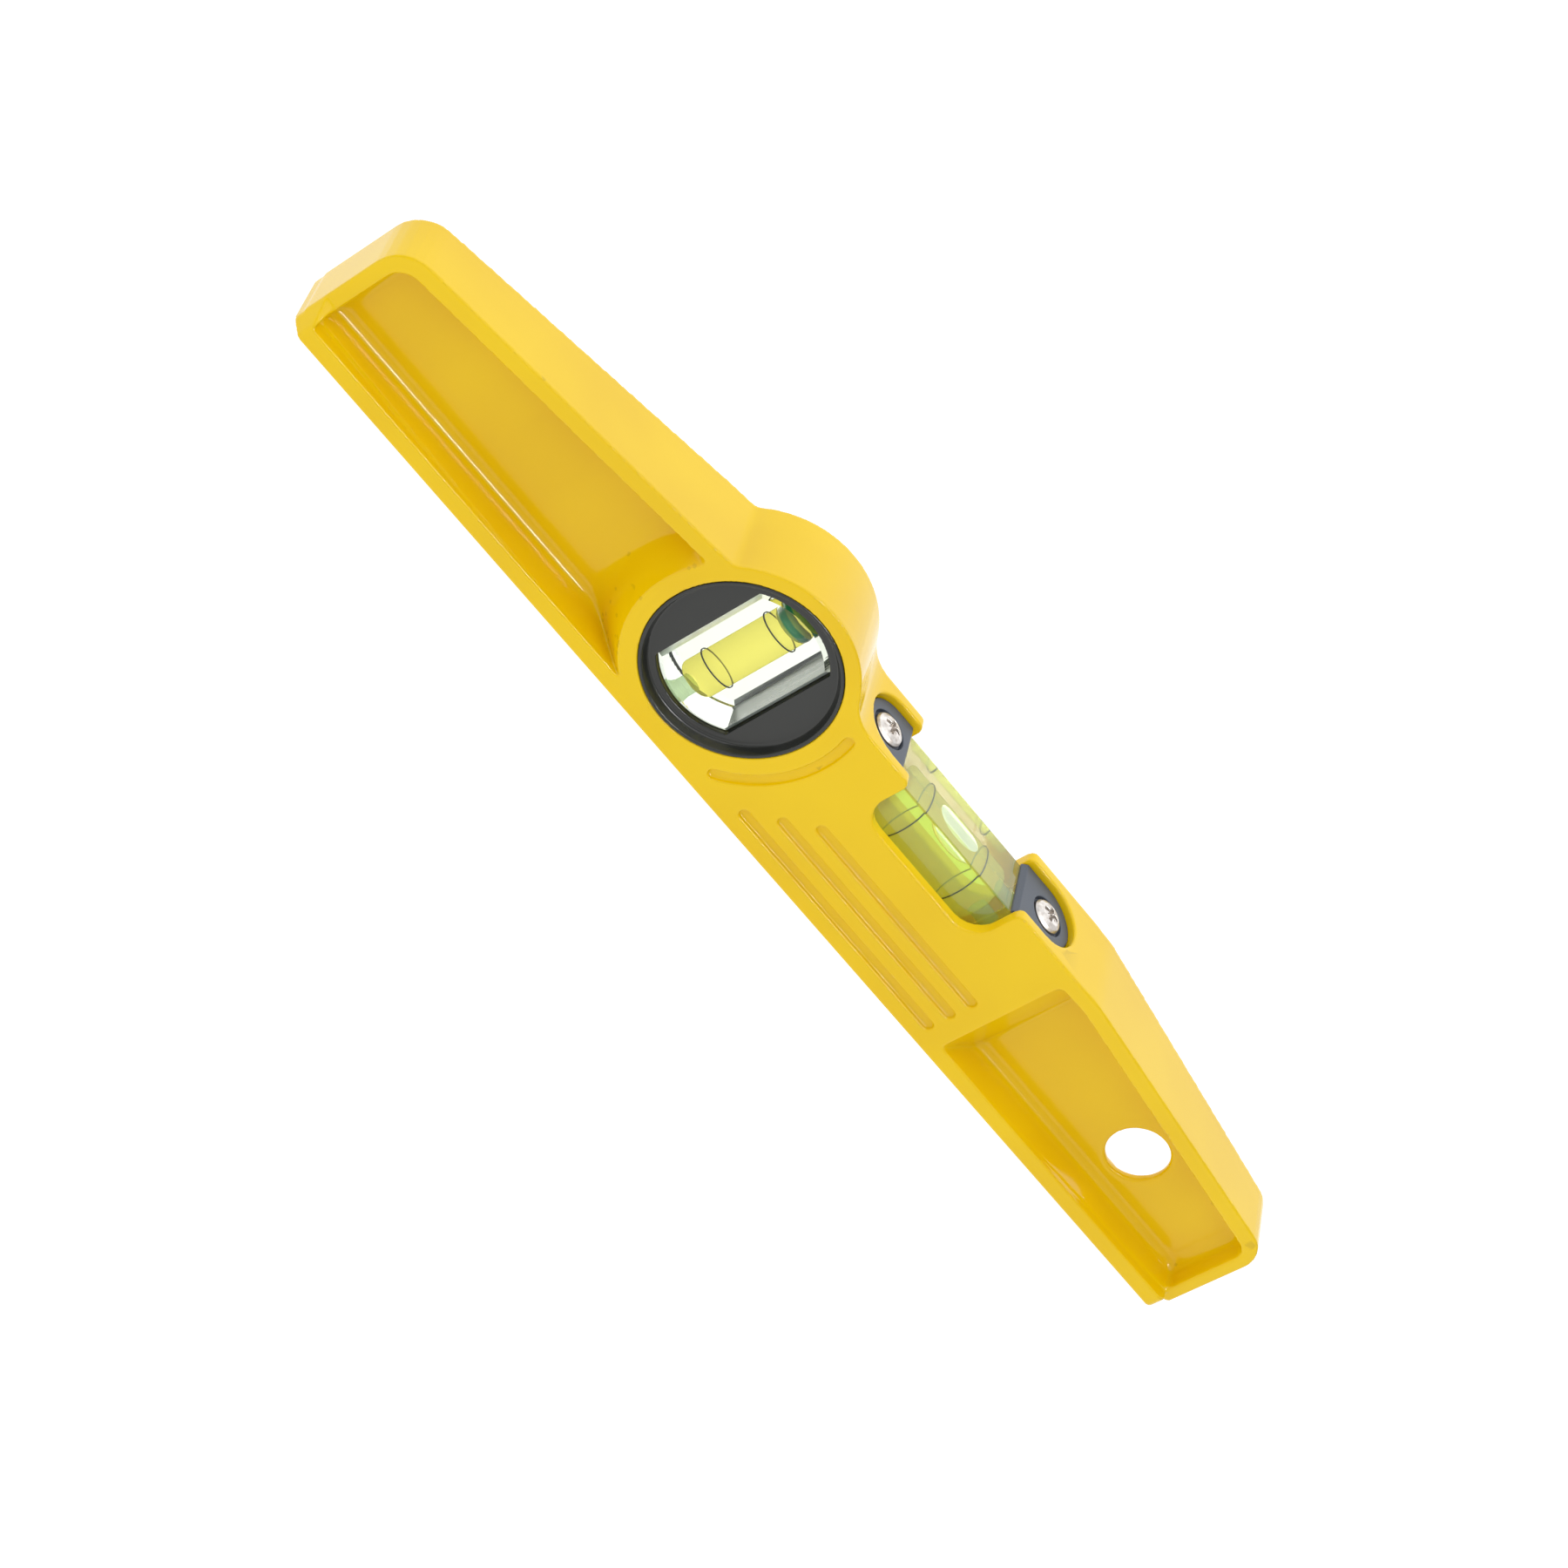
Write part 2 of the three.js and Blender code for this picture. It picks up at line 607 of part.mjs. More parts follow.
place('plumb_bezel_front', plumbBezel(), blackPlastic);
place('plumb_bezel_rear', mirrored(asGeometry(plumbBezel())), blackPlastic);
place('plumb_vial_block', plumbVialBlock(), acrylic);
place('plumb_vial_fluid', plumbFluid(), plumbLiquid);
place('plumb_bubble', plumbBubble(), air);
place('plumb_vial_plug', rod(fillHole - hair, plumbPlugLow, plumbLow - hair, 24), plugGreen, [bossX, 0, 0]);
for (const [name, side] of [['plumb_ring_lower', -1], ['plumb_ring_upper', 1]]) {
  place(name, ring(plumbTube + ringGap, plumbTube + ringGap + ringWall, ringHalf, 'z'), inkBlack,
    [bossX, 0, bossZ + side * plumbRingOffset]);
}

place('level_vial_block', levelVialBlock(), acrylic);
place('level_vial_fluid', levelFluid(), levelLiquid);
place('level_bubble', levelBubble(), air);
place('level_vial_plug', rod(fillHole - hair, vialHalf + hair, blockEnd - vialX - 1, 24, 'x'), plugGreen,
  [vialX, 0, vialZ]);
for (const [name, side] of [['level_ring_left', -1], ['level_ring_right', 1]]) {
  place(name, ring(vialRadius + ringGap, vialRadius + ringGap + ringWall, ringHalf, 'x'), inkBlack,
    [vialX + side * levelRingOffset, 0, vialZ]);
}

place('left_end_cap', endCap(leftCap), greyPlastic);
place('right_end_cap', endCap(rightCap), greyPlastic);
place('left_cap_screw', capScrew(), zinc, [leftCap.screw, 0, 0]);
place('right_cap_screw', capScrew(), zinc, [rightCap.screw, 0, 0]);

export default level;
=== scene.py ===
import math

import bmesh
import bpy
from mathutils import Matrix, Vector


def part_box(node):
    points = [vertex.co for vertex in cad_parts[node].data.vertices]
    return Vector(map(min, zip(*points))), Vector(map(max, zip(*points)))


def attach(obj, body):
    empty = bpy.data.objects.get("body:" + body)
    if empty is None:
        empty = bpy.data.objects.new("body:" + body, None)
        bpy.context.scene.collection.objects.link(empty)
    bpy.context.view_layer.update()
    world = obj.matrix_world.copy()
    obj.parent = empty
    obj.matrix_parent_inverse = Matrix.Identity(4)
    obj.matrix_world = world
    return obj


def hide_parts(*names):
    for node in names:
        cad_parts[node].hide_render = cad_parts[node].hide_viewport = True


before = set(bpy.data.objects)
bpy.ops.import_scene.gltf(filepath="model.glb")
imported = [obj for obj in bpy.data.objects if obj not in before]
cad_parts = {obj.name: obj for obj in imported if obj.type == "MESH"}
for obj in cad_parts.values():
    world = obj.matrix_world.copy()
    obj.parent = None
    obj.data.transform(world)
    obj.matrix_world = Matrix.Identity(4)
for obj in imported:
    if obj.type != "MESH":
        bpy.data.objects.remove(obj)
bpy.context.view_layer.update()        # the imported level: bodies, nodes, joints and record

mm = 0.001

studio = {
    "cameraPlace": (-0.2675, -0.5786, 0.3453),
    "imageRight": (0.6089, 0.1732, 0.7741),     # where the camera's right and up point
    "imageUp": (-0.7038, 0.5682, 0.4264),
    "lens": 93.17,                # mm
    "sensor": 36,                 # mm wide
    "nearest": 0.01,              # the camera sees nothing closer than this
    "zenith": 0.92,               # sky strength overhead
    "horizon": 0.49,              # and at eye level
    "floorColour": "#7A7A7A",
    "floorRoughness": 0.9,
    "floorGlow": 0.92,            # keeps the floor white and nearly without a shadow
    "floorReach": 3.0,
    "floorDrop": 0.0002,          # gap between the base and the floor
}

lamps = {
    "keySoftBox": {               # large soft box above, to the front left
        "place": (-0.2, -0.3, 0.72), "size": (1.0, 1.0), "watts": 2.5, "shades": True,
    },
    "rearSoftBox": {              # low soft box behind, which whitens the top faces
        "place": (0.0, 0.95, 0.52), "size": (2.6, 1.2), "watts": 6.0, "shades": True,
    },
    "stripLight": {               # narrow, and seen in reflections only: draws long clear highlights
        "place": (0.2, -0.4, 0.57), "size": (0.34, 0.035), "watts": 2.6, "shades": False,
    },
}


def linear(hexColour):
    # sRGB hex to the linear colour that the nodes want
    channels = [int(hexColour[i:i + 2], 16) / 255 for i in (1, 3, 5)]
    return tuple(c / 12.92 if c <= 0.04045 else ((c + 0.055) / 1.055) ** 2.4 for c in channels) + (1.0,)


def addNode(tree, kind, settings=None, values=None, links=None, stops=None):
    # one node with its properties, socket values, the sockets that feed it and a colour ramp's stops.
    # Mix and Math nodes use a socket name more than once, so their sockets are given by number
    node = tree.nodes.new(kind)
    for name, value in (settings or {}).items():
        setattr(node, name, value)
    for name, value in (values or {}).items():
        node.inputs[name].default_value = value
    for name, source in (links or {}).items():
        tree.links.new(source, node.inputs[name])
    if stops:
        elements = node.color_ramp.elements
        while len(elements) < len(stops):
            elements.new(0.5)
        for element, (position, colour) in zip(elements, stops):
            element.position = position
            element.color = colour if isinstance(colour, tuple) else (colour, colour, colour, 1)
    return node


def newMaterial(name):
    material = bpy.data.materials.new(name)
    material.use_nodes = True
    tree = material.node_tree
    return material, tree, tree.nodes["Principled BSDF"]


def newObject(name, data):
    piece = bpy.data.objects.new(name, data)
    bpy.context.scene.collection.objects.link(piece)
    return piece


def setUpCamera():
    scene = bpy.context.scene
    scene.view_settings.view_transform = "Standard"
    scene.view_settings.look = "None"
    camera = newObject("camera", bpy.data.cameras.new("camera"))
    right, up = Vector(studio["imageRight"]), Vector(studio["imageUp"])
    turn = Matrix((right, up, right.cross(up))).transposed().to_4x4()
    camera.matrix_world = Matrix.Translation(studio["cameraPlace"]) @ turn
    camera.data.lens = studio["lens"]
    camera.data.sensor_width = studio["sensor"]
    camera.data.clip_start = studio["nearest"]
    scene.camera = camera


def setUpSky():
    # lights softly from above and less from the sides, and looks plain white itself
    world = bpy.data.worlds.new("studioWhite")
    world.use_nodes = True
    tree = world.node_tree
    background = tree.nodes["Background"]
    direction = addNode(tree, "ShaderNodeTexCoord")
    height = addNode(tree, "ShaderNodeSeparateXYZ", links={"Vector": direction.outputs["Generated"]})
    strengths = {"From Min": 0.0, "From Max": 1.0, "To Min": studio["horizon"], "To Max": studio["zenith"]}
    sky = addNode(tree, "ShaderNodeMapRange", values=strengths, links={"Value": height.outputs["Z"]})
    rays = addNode(tree, "ShaderNodeLightPath")
    seen = addNode(tree, "ShaderNodeMix", values={3: 1.0},
                   links={0: rays.outputs["Is Camera Ray"], 2: sky.outputs["Result"]})
    tree.links.new(seen.outputs[0], background.inputs["Strength"])
    background.inputs["Color"].default_value = (1, 1, 1, 1)
    bpy.context.scene.world = world


def setUpLamps():
    for name, lamp in lamps.items():
        data = bpy.data.lights.new(name, "AREA")
        data.shape = "RECTANGLE"
        data.size, data.size_y = lamp["size"]
        data.energy = lamp["watts"]
        light = newObject(name, data)
        light.location = lamp["place"]
        # each lamp aims at the level's middle, with its long side along the level
        aim = -Vector(lamp["place"]).normalized()
        across = Vector((1, 0, 0)) - aim * aim.x
        across.normalize()
        light.rotation_euler = Matrix((across, (-aim).cross(across), -aim)).transposed().to_euler()
        light.visible_diffuse = lamp["shades"]


def setUpFloor():
    reach = studio["floorReach"]
    mesh = bpy.data.meshes.new("floor")
    mesh.from_pydata([(-reach, -reach, 0), (reach, -reach, 0), (reach, reach, 0), (-reach, reach, 0)],
                     [], [(0, 1, 2, 3)])
    floor = newObject("floor", mesh)
    floor.location.z = -studio["floorDrop"]
    material, tree, shader = newMaterial("paleFloor")
    shader.inputs["Base Color"].default_value = linear(studio["floorColour"])
    shader.inputs["Roughness"].default_value = studio["floorRoughness"]
    shader.inputs["Emission Color"].default_value = (1, 1, 1, 1)
    shader.inputs["Emission Strength"].default_value = studio["floorGlow"]
    mesh.materials.append(material)


enamel = {
    "yellow": "#ECC604",
    "shade": "#E7BF04",           # slow drift of the coat's thickness
    "edge": "#B5940A",            # darker on the outer, convex edges
    "edgeBend": (0.525, 0.58),    # how sharp an edge is where the darkening starts, and where it is full
    "edgeShare": 0.35,
    "pit": "#5A4310",
    "roughness": 0.12,
    "ior": 1.38,
    "driftMm": 30.0,
    "peelMm": 1.8,                # orange-peel wavelength of the sprayed enamel
    "peelBump": (0.05, 0.03),     # strength, and height in mm
    "castMm": 9.0,                # slow waviness of the casting under it
    "castBump": (0.08, 0.2),
    "pitMm": 9.0,                 # spacing of the places where a pinhole may be
    "pitShare": 0.1,              # share of those places that have one
}


def sprayedEnamel():
    # glossy yellow enamel sprayed on an aluminium casting: clear highlights, a faint orange peel,
    # thin darker edges and an odd pinhole
    material, tree, shader = newMaterial("sprayedEnamelOnCasting")
    place = addNode(tree, "ShaderNodeTexCoord").outputs["Object"]     # in metres
    drift = addNode(tree, "ShaderNodeTexNoise",
                    values={"Scale": 1 / (enamel["driftMm"] * mm), "Detail": 2.0},
                    links={"Vector": place})
    tone = addNode(tree, "ShaderNodeValToRGB", links={"Fac": drift.outputs["Fac"]},
                   stops=[(0.4, linear(enamel["yellow"])), (0.65, linear(enamel["shade"]))])
    bend = addNode(tree, "ShaderNodeNewGeometry")
    start, full = enamel["edgeBend"]
    edges = addNode(tree, "ShaderNodeValToRGB", links={"Fac": bend.outputs["Pointiness"]},
                    stops=[(start, 0.0), (full, enamel["edgeShare"])])
    edged = addNode(tree, "ShaderNodeMix", {"data_type": "RGBA"}, {7: linear(enamel["edge"])},
                    {0: edges.outputs["Color"], 6: tone.outputs["Color"]})
    pits = addNode(tree, "ShaderNodeTexVoronoi", {"feature": "F1"}, {"Scale": 1 / (enamel["pitMm"] * mm)},
                   {"Vector": place})
    pitMask = addNode(tree, "ShaderNodeValToRGB", links={"Fac": pits.outputs["Distance"]},
                      stops=[(0.0, 0.8), (0.012, 0.5), (0.018, 0.0)])
    which = addNode(tree, "ShaderNodeSeparateColor", links={"Color": pits.outputs["Color"]})
    chosen = addNode(tree, "ShaderNodeMath", {"operation": "GREATER_THAN"}, {1: 1 - enamel["pitShare"]},
                     {0: which.outputs["Red"]})
    amount = addNode(tree, "ShaderNodeMath", {"operation": "MULTIPLY"},
                     links={0: pitMask.outputs["Color"], 1: chosen.outputs[0]})
    colour = addNode(tree, "ShaderNodeMix", {"data_type": "RGBA"}, {7: linear(enamel["pit"])},
                     {0: amount.outputs[0], 6: edged.outputs[2]})
    tree.links.new(colour.outputs[2], shader.inputs["Base Color"])
    peel = addNode(tree, "ShaderNodeTexNoise",
                   values={"Scale": 1 / (enamel["peelMm"] * mm), "Detail": 2.0},
                   links={"Vector": place})
    wave = addNode(tree, "ShaderNodeTexNoise",
                   values={"Scale": 1 / (enamel["castMm"] * mm), "Detail": 1.0},
                   links={"Vector": place})
    strength, height = enamel["peelBump"]
    peelBump = addNode(tree, "ShaderNodeBump", values={"Strength": strength, "Distance": height * mm},
                       links={"Height": peel.outputs["Fac"]})
    strength, height = enamel["castBump"]
    waveBump = addNode(tree, "ShaderNodeBump", values={"Strength": strength, "Distance": height * mm},
                       links={"Height": wave.outputs["Fac"], "Normal": peelBump.outputs["Normal"]})
    tree.links.new(waveBump.outputs["Normal"], shader.inputs["Normal"])
    shader.inputs["Roughness"].default_value = enamel["roughness"]
    shader.inputs["IOR"].default_value = enamel["ior"]
    return material


plastics = {
    "ior": 1.53,
    "grainHeightMm": 0.04,
    "glossMouldedAbs": {          # the plumb insert's bezels
        "colour": "#212320", "roughness": 0.2, "grainMm": 2.5, "depth": 0.02, "contrast": 0.05,
    },
    "grainedMouldedAbs": {        # the end caps
        "colour": "#4E5662", "roughness": 0.45, "grainMm": 0.35, "depth": 0.3, "contrast": 0.15,
    },
}


def mouldedAbs(name):
    # moulded ABS: an even colour with a tool-textured grain that breaks the highlight
    p = plastics[name]
    material, tree, shader = newMaterial(name)
    place = addNode(tree, "ShaderNodeTexCoord").outputs["Object"]
    grain = addNode(tree, "ShaderNodeTexNoise", values={"Scale": 1 / (p["grainMm"] * mm), "Detail": 3.0},
                    links={"Vector": place})
    bump = addNode(tree, "ShaderNodeBump",
                   values={"Strength": p["depth"], "Distance": plastics["grainHeightMm"] * mm},
                   links={"Height": grain.outputs["Fac"]})
    light = linear(p["colour"])
    dark = tuple((1 - p["contrast"]) * c for c in light[:3]) + (1,)
    tone = addNode(tree, "ShaderNodeValToRGB", links={"Fac": grain.outputs["Fac"]},
                   stops=[(0.3, dark), (0.7, light)])
    change = 0.3 * p["contrast"]      # of roughness between the grain's hollows and tops
    rough = addNode(tree, "ShaderNodeValToRGB", links={"Fac": grain.outputs["Fac"]},
                    stops=[(0.3, p["roughness"] - change), (0.7, p["roughness"] + change)])
    tree.links.new(tone.outputs["Color"], shader.inputs["Base Color"])
    tree.links.new(rough.outputs["Color"], shader.inputs["Roughness"])
    tree.links.new(bump.outputs["Normal"], shader.inputs["Normal"])
    shader.inputs["IOR"].default_value = plastics["ior"]
    return material


acrylic = {
    "ior": 1.49,
    "polish": 0.01,               # roughness of a polished face
    "clear": "#F4FBEE",
    "rippleMm": 7.0,
    "rippleBump": (0.03, 0.1),    # strength, and height in mm
    "sawMm": 2.0,                 # the saw's marks, drawn coarser than they are so that they show
    "sawStretch": 0.1,            # and drawn out along the block
    "sawRoughness": (0.2, 0.4),
    "dyeMm": 11.0,                # drift of the dye through the level vial's block
    # darker and lighter tone, and how clear it is
    # painted light: a pale lit copy, and a grey copy that paints the black housing's reflection, one for
    # each side
    "sawnAcrylicPaintedLit": ("#CBE3BF", "#EEF6E6", 0.6),
    "sawnAcrylicPaintedShade": ("#23282B", "#747C78", 0.3),
    "tintedCastAcrylic": ("#CFEA8E", "#DBF0A6", 0.93),
    # painted light: a paler, greyer copy for the top face, which faces the sky
    "tintedCastAcrylicPaintedTopLight": ("#C4DEB4", "#D6EBCB", 0.87),
}


def castAcrylic(name):
    # polished cast acrylic: clear, with a faint green cast where it is seen through its length
    material, tree, shader = newMaterial(name)
    place = addNode(tree, "ShaderNodeTexCoord").outputs["Object"]
    ripple = addNode(tree, "ShaderNodeTexNoise",
                     values={"Scale": 1 / (acrylic["rippleMm"] * mm), "Detail": 1.0},
                     links={"Vector": place})
    strength, height = acrylic["rippleBump"]
    bump = addNode(tree, "ShaderNodeBump", values={"Strength": strength, "Distance": height * mm},
                   links={"Height": ripple.outputs["Fac"]})
    tree.links.new(bump.outputs["Normal"], shader.inputs["Normal"])
    shader.inputs["Base Color"].default_value = linear(acrylic["clear"])
    shader.inputs["Roughness"].default_value = acrylic["polish"]
    shader.inputs["IOR"].default_value = acrylic["ior"]
    shader.inputs["Transmission Weight"].default_value = 1.0
    return material


def dyedAcrylic(name):
    # cast acrylic with a green-yellow dye in it, which glows faintly through its whole depth
    dark, light, clearness = acrylic[name]
    material, tree, shader = newMaterial(name)
    place = addNode(tree, "ShaderNodeTexCoord").outputs["Object"]
    dye = addNode(tree, "ShaderNodeTexNoise",
                  values={"Scale": 1 / (acrylic["dyeMm"] * mm), "Detail": 2.0},
                  links={"Vector": place})
    tone = addNode(tree, "ShaderNodeValToRGB", links={"Fac": dye.outputs["Fac"]},
                   stops=[(0.35, linear(dark)), (0.7, linear(light))])
    tree.links.new(tone.outputs["Color"], shader.inputs["Base Color"])
    shader.inputs["Roughness"].default_value = acrylic["polish"]
    shader.inputs["IOR"].default_value = acrylic["ior"]
    shader.inputs["Transmission Weight"].default_value = clearness
    return material


def sawnAcrylic(name):
    # the acrylic's sawn side faces, cloudy from the saw's fine marks. Their tone is painted light in two
    # copies: pale green for the faces where the light comes in, and grey, a painted reflection of the
    # black housing that stands behind them, for the faces on the other side
    dark, light, clearness = acrylic[name]
    material, tree, shader = newMaterial(name)
    place = addNode(tree, "ShaderNodeTexCoord").outputs["Object"]
    along = addNode(tree, "ShaderNodeMapping", values={"Scale": (1, 1, acrylic["sawStretch"])},
                    links={"Vector": place})
    marks = addNode(tree, "ShaderNodeTexNoise",
                    values={"Scale": 1 / (acrylic["sawMm"] * mm), "Detail": 4.0},
                    links={"Vector": along.outputs["Vector"]})
    tone = addNode(tree, "ShaderNodeValToRGB", links={"Fac": marks.outputs["Fac"]},
                   stops=[(0.35, linear(dark)), (0.65, linear(light))])
    smoothest, roughest = acrylic["sawRoughness"]
    rough = addNode(tree, "ShaderNodeValToRGB", links={"Fac": marks.outputs["Fac"]},
                    stops=[(0.3, smoothest), (0.7, roughest)])
    tree.links.new(tone.outputs["Color"], shader.inputs["Base Color"])
    tree.links.new(rough.outputs["Color"], shader.inputs["Roughness"])
    shader.inputs["IOR"].default_value = acrylic["ior"]
    shader.inputs["Transmission Weight"].default_value = clearness
    return material


vialContents = {
    "liquidIor": 1.01,            # against the acrylic round it, not against air
    "liquidRoughness": 0.02,
    "airIor": 0.74,               # air against the liquid
    "airRoughness": 0.03,
    # colour face on, painted darker colour at the rim, and how cloudy it is
    "dyedSpiritYellow": ("#FFF478", "#D3CF3E", 0.22),
    "dyedSpiritGreen": ("#F2F98E", "#C2DA60", 0.2),
    "mouldedGreenPlug": ("#D2E8BE", "#8FBF80", 0.25),
    # painted reflection: air has no colour of its own, and these tones stand in for the light and
    # surroundings that the bubbles turn back
    "airInPlumbVialPaintedReflection": ("#1F8D60", "#0B5636", 0.55),
    "airInLevelVialPaintedReflection": ("#F6F9EE", "#5F9068", 0.7),
}


def dyedSpirit(name):
    # dyed spirit that fluoresces a little: it glows through the acrylic, and a painted shade darkens it
    # towards the tube's edge, where the surface turns from the view.
    # The moulded plugs stand in it and take its finish, in a paler green
    colour, rim, cloud = vialContents[name]
    material, tree, shader = newMaterial(name)
    facing = addNode(tree, "ShaderNodeLayerWeight", values={"Blend": 0.35})
    tint = addNode(tree, "ShaderNodeValToRGB", links={"Fac": facing.outputs["Facing"]},
                   # painted shade: the darker rim colour comes in where the surface turns away from the
                   # view
                   stops=[(0.5, linear(colour)), (0.95, linear(rim))])
    tree.links.new(tint.outputs["Color"], shader.inputs["Base Color"])
    shader.inputs["Roughness"].default_value = vialContents["liquidRoughness"]
    shader.inputs["IOR"].default_value = vialContents["liquidIor"]
    shader.inputs["Transmission Weight"].default_value = 1 - cloud
    return material


def trappedAir(name):
    # air in the liquid: its colour is painted, a fixed tone that stands in for what stands behind it and
    # what it reflects, with a painted darker rim where the light is turned back
    colour, rim, cloud = vialContents[name]
    material, tree, shader = newMaterial(name)
    facing = addNode(tree, "ShaderNodeLayerWeight", values={"Blend": 0.4})
    tint = addNode(tree, "ShaderNodeValToRGB", links={"Fac": facing.outputs["Facing"]},
                   stops=[(0.45, linear(colour)), (0.8, linear(rim))])
    tree.links.new(tint.outputs["Color"], shader.inputs["Base Color"])
    shader.inputs["Roughness"].default_value = vialContents["airRoughness"]
    shader.inputs["IOR"].default_value = vialContents["airIor"]
    shader.inputs["Transmission Weight"].default_value = 1 - cloud
    return material


printedRing = {"dark": "#141A0C", "light": "#28321A", "grainMm": 0.6, "roughness": 0.6}


def screenInk():
    # printed ring: a matt dark line, a little uneven in the ink's thickness
    material, tree, shader = newMaterial("screenPrintedInk")
    place = addNode(tree, "ShaderNodeTexCoord").outputs["Object"]
    grain = addNode(tree, "ShaderNodeTexNoise", values={"Scale": 1 / (printedRing["grainMm"] * mm)},
                    links={"Vector": place})
    tone = addNode(tree, "ShaderNodeValToRGB", links={"Fac": grain.outputs["Fac"]},
                   stops=[(0.3, linear(printedRing["dark"])), (0.7, linear(printedRing["light"]))])
    tree.links.new(tone.outputs["Color"], shader.inputs["Base Color"])
    shader.inputs["Roughness"].default_value = printedRing["roughness"]
    return material


plating = {
    "dark": "#BDB4AC",
    "light": "#E6E2DE",
    "cloudMm": 0.9,
    "roughness": (0.42, 0.26),    # in the dark clouds, and in the light ones
    "bump": (0.25, 0.03),         # strength, and height in mm
}


def zincPlate():
    # bright zinc plate on pressed steel: soft silver, with a fine clouding that breaks up reflections
    material, tree, shader = newMaterial("brightZincPlatedSteel")
    place = addNode(tree, "ShaderNodeTexCoord").outputs["Object"]
    cloud = addNode(tree, "ShaderNodeTexNoise",
                    values={"Scale": 1 / (plating["cloudMm"] * mm), "Detail": 4.0},
                    links={"Vector": place})
    tone = addNode(tree, "ShaderNodeValToRGB", links={"Fac": cloud.outputs["Fac"]},
                   stops=[(0.3, linear(plating["dark"])), (0.6, linear(plating["light"]))])
    dull, bright = plating["roughness"]
    rough = addNode(tree, "ShaderNodeValToRGB", links={"Fac": cloud.outputs["Fac"]},
                    stops=[(0.3, dull), (0.7, bright)])
    strength, height = plating["bump"]
    bump = addNode(tree, "ShaderNodeBump", values={"Strength": strength, "Distance": height * mm},
                   links={"Height": cloud.outputs["Fac"]})
    tree.links.new(tone.outputs["Color"], shader.inputs["Base Color"])
    tree.links.new(rough.outputs["Color"], shader.inputs["Roughness"])
    tree.links.new(bump.outputs["Normal"], shader.inputs["Normal"])
    shader.inputs["Metallic"].default_value = 1.0
    return material


def copyOf(node, name):
    # a new piece that starts from a CAD node's mesh
    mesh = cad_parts[node].data.copy()
    mesh.materials.clear()
    return newObject(name, mesh)


def addModifier(piece, kind, **settings):
    modifier = piece.modifiers.new(kind.lower(), kind)
    for name, value in settings.items():
        setattr(modifier, name, value)


def bakeModifiers(piece):
    bpy.context.view_layer.update()
    graph = bpy.context.evaluated_depsgraph_get()
    mesh = bpy.data.meshes.new_from_object(piece.evaluated_get(graph))
    piece.modifiers.clear()
    piece.data = mesh


def weld(piece):
    # joins the corners that the CAD mesh's triangles share
    form = bmesh.new()
    form.from_mesh(piece.data)
    bmesh.ops.remove_doubles(form, verts=form.verts, dist=mm / 1000)
    bmesh.ops.recalc_face_normals(form, faces=form.faces)
    form.to_mesh(piece.data)
    form.free()


def soften(piece, shape):
    # rounds every edge as casting, moulding and paint do: an even fine mesh, smoothed
    weld(piece)
    addModifier(piece, "REMESH", mode="VOXEL", voxel_size=shape["voxelMm"] * mm, adaptivity=0.0)
    addModifier(piece, "SMOOTH", factor=0.5, iterations=shape["smoothing"])
    bakeModifiers(piece)


def thinOut(piece, shape):
    # the remesh leaves quads, which are two triangles each
    addModifier(piece, "DECIMATE", ratio=min(1, shape["triangles"] / (len(piece.data.polygons) * 2)))
    bakeModifiers(piece)


def finishPiece(piece, material, body, node, smooth=True):
    piece.data.materials.clear()
    piece.data.materials.append(material)
    for face in piece.data.polygons:
        face.use_smooth = smooth
    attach(piece, body)
    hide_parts(node)


def lightPasses(*pieces):
    # clear pieces let the lamps through to what they hold
    for piece in pieces:
        piece.visible_shadow = False
        piece.visible_diffuse = False


casting = {
    "voxelMm": 0.26,
    "smoothing": 5,
    "triangles": 190000,
    "pocketSmoothing": 26,        # the pockets' walls blend softly, while the plate's edges stay crisp
    "leftPocket": (-122.8, -48.0),    # from end to end along the level, in mm as are all below
    "rightPocket": (50.0, 122.9),
    "pocketDepth": 8.6,           # half thickness up to which a point counts as inside a pocket
    "pocketFloor": 3.0,           # height above the base where the pockets start
    "rim": 2.4,                   # the pockets stay this far below the top line
    "fade": 1.4,                  # the softening dies away over this distance, so it leaves no crease
    "fadeSteps": 10,
    "leftTop": (25.1, 0.129),     # top line left of the boss: its height at the end, and its slope
    "rightTop": (33.5, -0.135),   # and right of it: height of the flat, then the slope
    "kinkX": 59.4,
    "endX": -125.0,
}


def topLine(x):
    # height of the casting's sloping top in millimetres, away from the boss
    height, slope = casting["leftTop"] if x < 0 else casting["rightTop"]
    return height + slope * (x - casting["endX"] if x < 0 else max(0.0, x - casting["kinkX"]))


def pocketShare(point):
    # how much of the softening a point takes: all of it inside a pocket, none on plate and rims
    x, y, z = (c / mm for c in point)
    low, high = casting["leftPocket"] if x < 0 else casting["rightPocket"]
    room = min(x - low, high - x, casting["pocketDepth"] - abs(y), z - casting["pocketFloor"],
               topLine(x) - casting["rim"] - z)
    return max(0.0, min(1.0, room / casting["fade"]))


def buildCasting():
    piece = copyOf("body_casting", "castBody")
    soften(piece, casting)
    pockets = piece.vertex_groups.new(name="pockets")
    steps = casting["fadeSteps"]
    shares = [round(pocketShare(v.co) * steps) for v in piece.data.vertices]
    for step in range(1, steps + 1):
        pockets.add([i for i, share in enumerate(shares) if share == step], step / steps, "REPLACE")
    addModifier(piece, "SMOOTH", factor=0.5, iterations=casting["pocketSmoothing"], vertex_group="pockets")
    bakeModifiers(piece)
    piece.vertex_groups.clear()
    thinOut(piece, casting)
    finishPiece(piece, paint, "level", "body_casting")
    print("stage: casting", len(piece.data.polygons), "faces")


bezel = {"voxelMm": 0.22, "smoothing": 2, "triangles": 60000}


